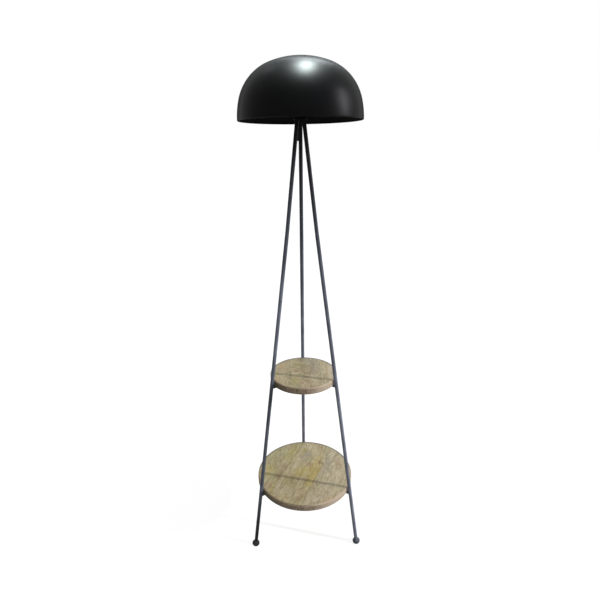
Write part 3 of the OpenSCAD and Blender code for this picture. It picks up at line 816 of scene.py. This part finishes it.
        # Painted shade: darker towards the bottom of the side, with a dark line along its bottom edge.
        tone = self.tints(tone, (darker, z, top - 0.003, top - 0.015, 0.12),
                          # Painted light pale on the right of the side, painted shade dark on its left.
                          (look.painted_lit_side, x, radius * -0.02, radius * 0.55, 0.9),
                          (paint(74, 68, 46), x, radius * -0.25, radius * -0.8, 0.8),
                          (paint(70, 62, 62), z, top - 0.0150, top - 0.0190, 0.35))
        facing = self.math("ABSOLUTE", self.split(self.add("NewGeometry").outputs["Normal"])[2])
        colour = self.mix(self.fade(facing, 0.96, 0.40), colour, tone)
        # Painted highlight: the rounded corner paler in front, where it catches the light.
        corner = self.times(self.fade(facing, 0.30, 0.6), self.fade(facing, 0.985, 0.85))
        in_front = self.times(self.fade(y, 0.03, -0.01), self.fade(x, -0.02, 0.07, 0.25, 1.0))
        return self.mix(self.times(self.times(corner, in_front), 0.85), colour, paint(200, 182, 160))

    def board(self, top, radius, bases, stains):
        """The material of a board with a radius and the height of its top."""
        colour = self.edge(self.grime_and_painted_light(self.face(top, bases, stains), radius), top, radius)
        roughness = self.weigh(0.46, (self.streak, 0.12), (self.pores, 0.2))
        height = self.weigh(0.0, (self.fibre, 0.3), (self.streak, 0.5), (self.pores, -1.0),
                            (self.seam, -2.0))
        return self.finish(colour, roughness, self.relief(height, 0.00012, 0.6))


# operators


class LAMP_OT_studio(bpy.types.Operator):
    """Floor, room light, lamps and the photograph's camera"""

    bl_idname = "lamp.studio"
    bl_label = "Studio"

    def execute(self, context):
        look = context.scene.lamp_studio
        self.floor(look)
        self.room(look)
        self.lamps(look)
        self.camera(look)
        context.scene.view_settings.view_transform = "Standard"
        return {"FINISHED"}

    def floor(self, look):
        """A flat grid at height 0. It gives off a little light of its own where it is seen."""
        cells = 12
        row = cells + 1
        run = np.linspace(-FLOOR_HALF, FLOOR_HALF, row)
        x, y = np.meshgrid(run, run)
        points = np.stack([x, y, np.zeros_like(x)], -1).reshape(-1, 3)
        i = (np.arange(cells)[:, None] * row + np.arange(cells)).reshape(-1)
        quads = np.stack([i, i + 1, i + row + 1, i + row], -1)
        mesh = bpy.data.meshes.new("studio_floor")
        mesh.from_pydata(points.tolist(), [], quads.tolist())
        floor = placed("studio_floor", mesh)

        f = Finish("studio_floor", specular=0.0)
        f.finish(f.mix(f.noise(f.place, 3.0, 2.0), look.floor_colour,
                       tuple(v * 0.97 for v in look.floor_colour)), 0.9)
        glow = f.add("Emission", {"Strength": f.times(f.seen(), 0.80)})
        lit = f.add("AddShader", {0: f.shader.outputs[0], 1: glow.outputs[0]})
        clear = f.add("BsdfTransparent")
        below = f.add("MixShader", {0: f.add("NewGeometry").outputs["Backfacing"],
                                    1: lit.outputs[0], 2: clear.outputs[0]})
        f.feed(f.tree.nodes["Material Output"].inputs["Surface"], below.outputs[0])
        mesh.materials.append(f.material)

    def room(self, look):
        """White where it is seen, and otherwise a soft light that grows from the walls to the ceiling."""
        world = bpy.data.worlds.new("studio_room")
        world.use_nodes = True
        bpy.context.scene.world = world
        n = Nodes(world.node_tree)
        back = n.tree.nodes["Background"]
        back.inputs["Color"].default_value = (1.0, 1.0, 1.0, 1.0)
        height = n.split(n.add("TexCoord").outputs["Generated"])[2]
        soft = n.run(height, look.wall_level, look.ceiling_level)
        n.feed(back.inputs["Strength"], n.run(n.seen(), soft, 1.0))

    def lamps(self, look):
        """The key light and round panels. Panels with a tint are seen only in glossy paint."""
        key = placed("key_light", bpy.data.lights.new("key_light", "SUN"))
        key.data.energy = look.key_power
        key.data.angle = look.key_size
        key.rotation_euler = (0.0, math.pi / 2.0 - look.key_elevation, look.key_azimuth)
        key.visible_glossy = False
        panels = (("ceiling_panel", "top", 1.15, 0.85, None),
                  ("ceiling_strip", "sheen", 0.62, 2.10, (0.88, 1.0, 0.985)),
                  ("back_panel", "back", 1.20, 0.80, (0.86, 0.95, 1.0)),
                  ("left_panel", "left", 0.70, 0.70, (0.80, 0.93, 1.0)),
                  ("side_strip", "side", 0.54, 1.60, (0.94, 0.92, 1.0)))
        for name, prefix, wide, tall, tinted in panels:
            data = bpy.data.lights.new(name, "AREA")
            data.shape = "ELLIPSE"
            data.size, data.size_y = wide, tall
            data.energy = getattr(look, prefix + "_power")
            data.color = tinted or (1.0, 1.0, 1.0)
            a, e = getattr(look, prefix + "_azimuth"), getattr(look, prefix + "_elevation")
            roll = getattr(look, prefix + "_turn", 0.0)
            panel = self.aimed(name, data, a, e, roll, PANEL_AIM, PANEL_DISTANCE)
            panel.visible_camera = False
            panel.visible_diffuse = tinted is None
            panel.visible_glossy = tinted is not None
            panel.visible_transmission = False

    def camera(self, look):
        """Wide lens close to the lamp."""
        data = bpy.data.cameras.new("camera")
        data.lens = look.lens
        data.sensor_width = 36.0
        data.sensor_fit = "HORIZONTAL"
        data.clip_start, data.clip_end = 0.02, 200.0
        bpy.context.scene.camera = self.aimed(
            "camera", data, CAMERA_AZIMUTH, CAMERA_ELEVATION, CAMERA_ROLL, CAMERA_PLACE)

    def aimed(self, name, data, a, e, roll, place, away=0.0):
        """A lamp or camera that stands away from a place and faces it, level but for its roll.

        Its back points along (cos e cos a, cos e sin a, sin e).
        """
        made = placed(name, data)
        back = np.array([math.cos(e) * math.cos(a), math.cos(e) * math.sin(a), math.sin(e)])
        level = np.array([-math.sin(a), math.cos(a), 0.0])
        over = np.cross(back, level)
        right = level * math.cos(roll) + over * math.sin(roll)
        up = over * math.cos(roll) - level * math.sin(roll)
        matrix = np.eye(4)
        matrix[:3] = np.stack([right, up, back, back * away + place], -1)
        made.matrix_world = Matrix(matrix.tolist())
        return made


class LAMP_OT_shade(bpy.types.Operator):
    """Spun dome with its rolled rim, and the spider that carries it"""

    bl_idname = "lamp.shade"
    bl_label = "Shade"

    def execute(self, context):
        look = context.scene.lamp_shade
        skin = spun_paint("spun_dome_paint", look)
        piece("dome_shell", [self.dome(look)], skin, "black_paint", "stand", "shade_dome")
        fitting = tube_paint("spider_paint", context.scene.lamp_stand, BARE)
        dress(fitting, "shade_spider")
        piece("spider_spot_welds", self.spots(look), fitting, "black_paint", "stand")
        return {"FINISHED"}

    def dome(self, look):
        """Profile turned about Z.

        Outside, three arcs meet without a corner: the wall, radius 220 mm for
        13.5 degrees; the shoulder, 130 mm to 69 degrees; the crown, whose
        centre is on the axis, (x + r cos 69) / cos 69 from the shoulder's
        centre x and radius r. Each inside arc has the same centre and a
        radius less by the sheet. The rim is a bead, a circle from the inside
        of the wall, over, in, under and out again.
        """
        rim, sheet, bead = look.rim_height, look.sheet, look.bead / 2.0
        wall = np.array([look.rim_radius - WALL_ARC, rim])
        wall_end, shoulder_end = math.radians(13.5), math.radians(69.0)
        shoulder = wall + (WALL_ARC - SHOULDER_ARC) * np.array([math.cos(wall_end), math.sin(wall_end)])
        crown_radius = (shoulder[0] + SHOULDER_ARC * math.cos(shoulder_end)) / math.cos(shoulder_end)
        crown = np.array([0.0, shoulder[1] + (SHOULDER_ARC - crown_radius) * math.sin(shoulder_end)])
        bead_at = np.array([look.rim_radius - bead - 0.00005, rim + bead])

        def arc(centre, radius, low, high, count):
            a = np.linspace(low, high, count)
            return centre + radius * np.stack([np.cos(a), np.sin(a)], -1)

        def face(inset, start, counts):
            arcs = ((wall, WALL_ARC, start, wall_end), (shoulder, SHOULDER_ARC, wall_end, shoulder_end),
                    (crown, crown_radius, shoulder_end, math.pi / 2.0))
            return np.vstack([arc(centre, radius - inset, low, high, count)[:-1]
                              for (centre, radius, low, high), count in zip(arcs, counts)])

        outside = face(0.0, math.asin(bead / WALL_ARC) + 0.004, (40, 96, 40))
        inside = face(sheet, math.asin(bead * 1.92 / (WALL_ARC - sheet)), (30, 64, 26))[::-1]
        roll = arc(bead_at, bead, math.radians(67.0), math.radians(352.0), 26)
        profile = np.vstack([inside, roll, outside])
        top = crown[1] + crown_radius
        return lathe(profile[:, 0], profile[:, 1], 192, top - sheet, top)

    def spots(self, look):
        """Low domes on the inside of the tabs: radius r cos t, height h sin t."""
        t = np.linspace(0.0, math.radians(84.0), 7)
        rise = 0.0004
        low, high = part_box("shade_spider")
        lift = low.z + (high.z - low.z) * 0.62
        reach = look.rim_radius - 0.0034 - (lift - look.rim_height) ** 2 / (2.0 * WALL_ARC)
        made = []
        for tab in (30.0, 150.0, 270.0):
            for side in (-0.0026, 0.0026):
                skin = lathe(look.weld * np.cos(t), rise * np.sin(t), 20, 0.0, rise)
                made.append(seat(skin, Matrix.Rotation(math.radians(tab), 4, "Z")
                                 @ Matrix.Translation((reach, side, lift))
                                 @ Matrix.Rotation(math.radians(-90.0), 4, "Y")))
        return made


class LAMP_OT_holder(bpy.types.Operator):
    """Lampholder with a rolled screw shell, on its threaded nipple"""

    bl_idname = "lamp.holder"
    bl_label = "Lampholder"

    def execute(self, context):
        look = context.scene.lamp_holder
        plastic = moulded("holder_phenolic", look.plastic_colour, 0.42)
        dress(plastic, "shade_ring", "holder_cap", "holder_shell")
        dress(fired("holder_ceramic", look.ceramic_colour), "holder_insert")
        brass = plated("contact_brass", look.brass_colour, 0.3, paint(120, 92, 52))
        dress(brass, "holder_contact", "holder_terminals")
        zinc = plated("nipple_zinc", look.zinc_colour, 0.36, paint(120, 122, 122))
        dress(zinc, "nipple", "nipple_washer", "nipple_nut")
        piece("rolled_screw_shell", [self.shell(look)], brass, "brass", "stand", "holder_screw_shell")
        return {"FINISHED"}

    def shell(self, look):
        """Thin sheet: each face is r = R + d times the thread, and d fades out at the ends."""
        low, high, run_out, sheet = SCREW_SHELL_LOW.z, SCREW_SHELL_HIGH.z, 0.003, 0.0003
        z, a = np.linspace(low, high, 110)[:, None], around(96)
        depth = look.shell_depth * np.clip(np.minimum(z - low, high - z) / run_out, 0.0, 1.0)
        r = look.shell_radius + depth * threaded(z, a, look.pitch)
        return loft(np.concatenate([rings_at(r, a, z)[::-1], rings_at(r + sheet, a, z)]), loop=True)


class LAMP_OT_bulb(bpy.types.Operator):
    """Opal lamp: globe, collar and rolled screw cap"""

    bl_idname = "lamp.bulb"
    bl_label = "Bulb"

    def execute(self, context):
        look = context.scene.lamp_bulb
        pitch = context.scene.lamp_holder.pitch
        dress(opal("globe_opal", look.opal_colour), "bulb_globe")
        dress(moulded("collar_plastic", look.housing_colour, 0.3, 0.5), "bulb_housing")
        dress(moulded("cap_insulator", paint(20, 20, 22), 0.22, 0.5), "bulb_insulator")
        dress(plated("cap_contact", paint(190, 170, 128), 0.3, paint(128, 112, 86)), "bulb_contact")
        nickel = plated("cap_nickel", look.cap_colour, 0.28, paint(140, 140, 138))
        piece("rolled_screw_cap", [self.cap(look, pitch)], nickel, "cap_metal", "bulb", "bulb_cap")
        return {"FINISHED"}

    def cap(self, look, pitch):
        """Closed drum: r = R - d / 2 + d / 2 times the thread, which fades out at the ends.

        Above is a plain collar, and below the edge is rounded in by a square.
        """
        low, high, run_out, collar, rounded = CAP_LOW.z, CAP_HIGH.z, 0.003, 0.0025, 0.0012
        z, a = np.linspace(low, high, 120)[:, None], around(96)
        half = look.thread_depth / 2.0
        ends = (np.clip((z - low) / run_out, 0.0, 1.0)
                * np.clip((high - collar - z) / run_out, 0.0, 1.0))
        r = look.crest_radius - half + half * ends * threaded(z, a, pitch)
        r = r - rounded * np.clip((low + rounded - z) / rounded, 0.0, 1.0) ** 2
        return loft(rings_at(r, a, z))


class LAMP_OT_stand(bpy.types.Operator):
    """Tube legs, hub, the web between two legs and the weld beads"""

    bl_idname = "lamp.stand"
    bl_label = "Stand"

    def execute(self, context):
        look = context.scene.lamp_stand
        for side, film in LEG_PAINTED_SHEEN.items():
            dress(tube_paint(side + "_leg_paint", look, film), "leg_" + side)
        tube = tube_paint("lug_paint", look, LUG_PAINTED_SHEEN)
        dress(tube, "upper_lugs", "lower_lugs")
        dark = tube_paint("hub_paint", look, BARE, 0.03)
        dress(dark, "hub")
        dress(plated("insert_zinc", paint(172, 174, 174), 0.38, paint(120, 122, 122)), "leg_inserts")
        dress(soft_rubber("inlet_rubber"), "cord_inlet_bush")
        piece("hub_welds", self.hub_welds(look), dark, "black_paint", "stand")
        piece("leg_web", [self.web(look)], dark, "black_paint", "stand")
        piece("lug_welds", self.lug_welds(look), tube, "black_paint", "stand")
        return {"FINISHED"}

    def hub_welds(self, look):
        """A rippled bead round each leg where it meets the hub's underside."""
        path = rings_at(0.0058 + look.bead * 0.18, around(96), HUB_LOW.z - look.bead * 0.1)
        return [swept(path + polar(LEG_TOP_RADIUS, azimuth, 0.0), look.bead / 2.4,
                      sides=12, loop=True, ripple=0.16, ripples=26)
                for azimuth in LEG_AZIMUTHS.values()]

    def web(self, look):
        """Plate between the left and the rear leg.

        Across it u runs from one leg's axis to the other's; its section at u
        is a rounded rectangle in thickness and height, whose lower edge
        falls by the square of the distance from the middle.
        """
        top = HUB_LOW.z - 0.0003
        u = np.linspace(0.0, 1.0, 41)
        bottom = top - look.web_drop - 0.010 * (2.0 * u - 1.0) ** 2 + 0.004
        b = around(72)
        s, c = np.sin(b), np.cos(b)
        level = 0.5 * (np.sign(s) * np.abs(s) ** 0.18 + 1.0)
        thick = look.web_sheet / 2.0 * np.sign(c) * np.abs(c) ** 0.55
        z = bottom[:, None] + (top - bottom)[:, None] * level[None, :]
        reach = np.interp(z, [LEG_JOINT_HEIGHT, HUB_LOW.z], [LEG_JOINT_RADIUS, LEG_TOP_RADIUS])
        rear, left = math.radians(LEG_AZIMUTHS["rear"]), math.radians(LEG_AZIMUTHS["left"])
        start = rings_at(reach, rear, z)
        flat = start + (rings_at(reach, left, z) - start) * u[:, None, None]
        square_to_plate = polar(1.0, 150.0, 0.0)
        return loft(flat + square_to_plate * thick[None, :, None])

    def lug_welds(self, look):
        """A rippled bead along each lug's root, on the leg's inner side."""
        made = []
        for height in (UPPER_LOW.z - 0.0030, LOWER_LOW.z - 0.0030):
            t = np.linspace(math.radians(118.0), math.radians(242.0), 40)
            path = rings_at(0.0060 + look.bead * 0.12, t, height) + (leg_radius(height), 0.0, 0.0)
            for azimuth in LEG_AZIMUTHS.values():
                spin = np.array(Matrix.Rotation(math.radians(-azimuth), 3, "Z"))
                made.append(swept(path @ spin, look.bead / 2.6,
                                  sides=10, loop=False, ripple=0.2, ripples=12))
        return made


class LAMP_OT_feet(bpy.types.Operator):
    """Turned feet, cut flat where they stand"""

    bl_idname = "lamp.feet"
    bl_label = "Feet"

    def execute(self, context):
        look = context.scene.lamp_feet
        stand = context.scene.lamp_stand
        for side, azimuth in LEG_AZIMUTHS.items():
            finish = tube_paint(side + "_foot_paint", stand, FOOT_PAINTED_SHEEN[side])
            piece("turned_foot_" + side, [self.foot(look, azimuth)], finish, "black_paint",
                  "stand", "foot_" + side)
        return {"FINISHED"}

    def foot(self, look, azimuth):
        """Bead r = R cos(b)^0.8 at h sin(b), a cove up to the neck, then the neck.

        Points under the floor rise to it.
        """
        b = np.linspace(math.radians(-86.0), math.radians(60.0), 44)
        radius = look.bead_radius * np.cos(b) ** 0.8
        height = look.bead_half * np.sin(b)
        t = np.linspace(0.0, math.pi / 2.0, 14)[1:]
        cove_r = radius[-1] + (look.neck_radius - radius[-1]) * np.sin(t)
        cove_h = height[-1] + (0.0112 - height[-1]) * (1.0 - np.cos(t))
        radii = np.concatenate([radius, cove_r, [look.neck_radius, look.neck_radius]])
        heights = np.concatenate([height, cove_h, [0.0119, 0.0125]])
        points, quads, tris = seat(lathe(radii, heights, 64), leg_frame(azimuth))
        points[:, 2] = np.maximum(points[:, 2], 0.0)
        return points, quads, tris


class LAMP_OT_shelves(bpy.types.Operator):
    """Two edge-glued boards and the screws that hold them"""

    bl_idname = "lamp.shelves"
    bl_label = "Shelves"

    def execute(self, context):
        look = context.scene.lamp_shelves
        upper = Timber("upper_board", look, 0.0, (-0.048, 0.056),
                       ((-25.0, 8.0, 60.0, 1.5, 14.0), (13.0, -67.0, 24.0, 1.4, 0.0)))
        bases = (("green", 0.10), ("green", 0.10), ("pale", 0.35))
        dress(upper.board(UPPER_HIGH.z, UPPER_HIGH.x, bases, UPPER_STAINS), "upper_shelf")
        lower = Timber("lower_board", look, math.radians(24.0), (-0.0667, 0.0502), ())
        bases = (("green", 0.55), ("yellow", 0.24), ("pale", 0.72))
        dress(lower.board(LOWER_HIGH.z, LOWER_HIGH.y, bases, LOWER_STAINS), "lower_shelf")
        steel = plated("screw_blackened", look.screw_colour, 0.42, paint(70, 66, 60))
        for board, circle in SCREW_CIRCLES.items():
            node = board + "_screws"
            low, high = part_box(node)
            made = self.screws(look, circle, low.z, high.z)
            piece(board + "_recess_screws", made, steel, "dark_screw", "stand", node)
        return {"FINISHED"}

    def screws(self, look, circle, low, high):
        """Three screws.

        Below, a pan head on a polar grid: z = -h (1 - (r/R)^4)^0.5, less a
        cross recess. Above, a shank with r = S + d times the thread, and a
        blunt tip.
        """
        tall, tip_length, core, crest, pitch = 0.0026, 0.0012, 0.00172, 0.00022, 0.0013
        half_width, arm_length, recess = 0.00042, 0.0023, 0.0013
        a = around(96)
        part = np.linspace(0.02, 1.0, 34)[:, None]
        r = look.screw_head * part
        arms = np.sort(np.abs(np.stack([r * np.cos(a), r * np.sin(a)])), axis=0)
        cut = (np.clip((half_width - arms[0]) / 0.00016, 0.0, 1.0)
               * np.clip((arm_length - arms[1]) / 0.0003, 0.0, 1.0))
        dome = tall * np.clip(1.0 - part ** 4, 0.0, 1.0) ** 0.5
        head = rings_at(r, a, low + tall - np.maximum(dome - recess * cut, 0.0))
        z = np.linspace(low + tall + 0.0001, high - tip_length, 70)[:, None]
        thread = np.clip((z - low - tall - 0.0008) / 0.0008, 0.0, 1.0)
        shank = core + crest * thread * threaded(z, a, pitch)
        narrow = np.linspace(1.0, 0.15, 6)[1:, None]
        shank = np.vstack([shank, 0.0017 * narrow + 0.0 * a])
        z = np.vstack([z, high - tip_length + (1.0 - narrow) * tip_length / 0.85])
        points, quads, tris = loft(np.concatenate([head, rings_at(shank, a, z)]))
        return [(points + polar(circle, azimuth, 0.0), quads, tris)
                for azimuth in LEG_AZIMUTHS.values()]


class LAMP_PT_panel(bpy.types.Panel):
    """Lists the lamp's steps in the sidebar"""

    bl_label = "Floor Lamp"
    bl_idname = "LAMP_PT_panel"
    bl_space_type = "VIEW_3D"
    bl_region_type = "UI"
    bl_category = "Floor Lamp"

    def draw(self, context):
        for step, group, _ in STEPS:
            box = self.layout.box()
            box.operator(step.bl_idname)
            settings = getattr(context.scene, group)
            for key in settings.__annotations__:
                box.prop(settings, key)


STEPS = (
    (LAMP_OT_studio, "lamp_studio", StudioSettings),
    (LAMP_OT_shade, "lamp_shade", ShadeSettings),
    (LAMP_OT_holder, "lamp_holder", HolderSettings),
    (LAMP_OT_bulb, "lamp_bulb", BulbSettings),
    (LAMP_OT_stand, "lamp_stand", StandSettings),
    (LAMP_OT_feet, "lamp_feet", FeetSettings),
    (LAMP_OT_shelves, "lamp_shelves", ShelfSettings),
)


def register():
    for step, group, settings in STEPS:
        bpy.utils.register_class(settings)
        setattr(bpy.types.Scene, group, bpy.props.PointerProperty(type=settings))
        bpy.utils.register_class(step)
    bpy.utils.register_class(LAMP_PT_panel)


def unregister():
    bpy.utils.unregister_class(LAMP_PT_panel)
    for step, group, settings in reversed(STEPS):
        bpy.utils.unregister_class(step)
        delattr(bpy.types.Scene, group)
        bpy.utils.unregister_class(settings)


def main():
    register()
    bpy.ops.lamp.studio()
    bpy.ops.lamp.shade()
    bpy.ops.lamp.holder()
    bpy.ops.lamp.bulb()
    bpy.ops.lamp.stand()
    bpy.ops.lamp.feet()
    bpy.ops.lamp.shelves()


if __name__ == "__main__":
    main()
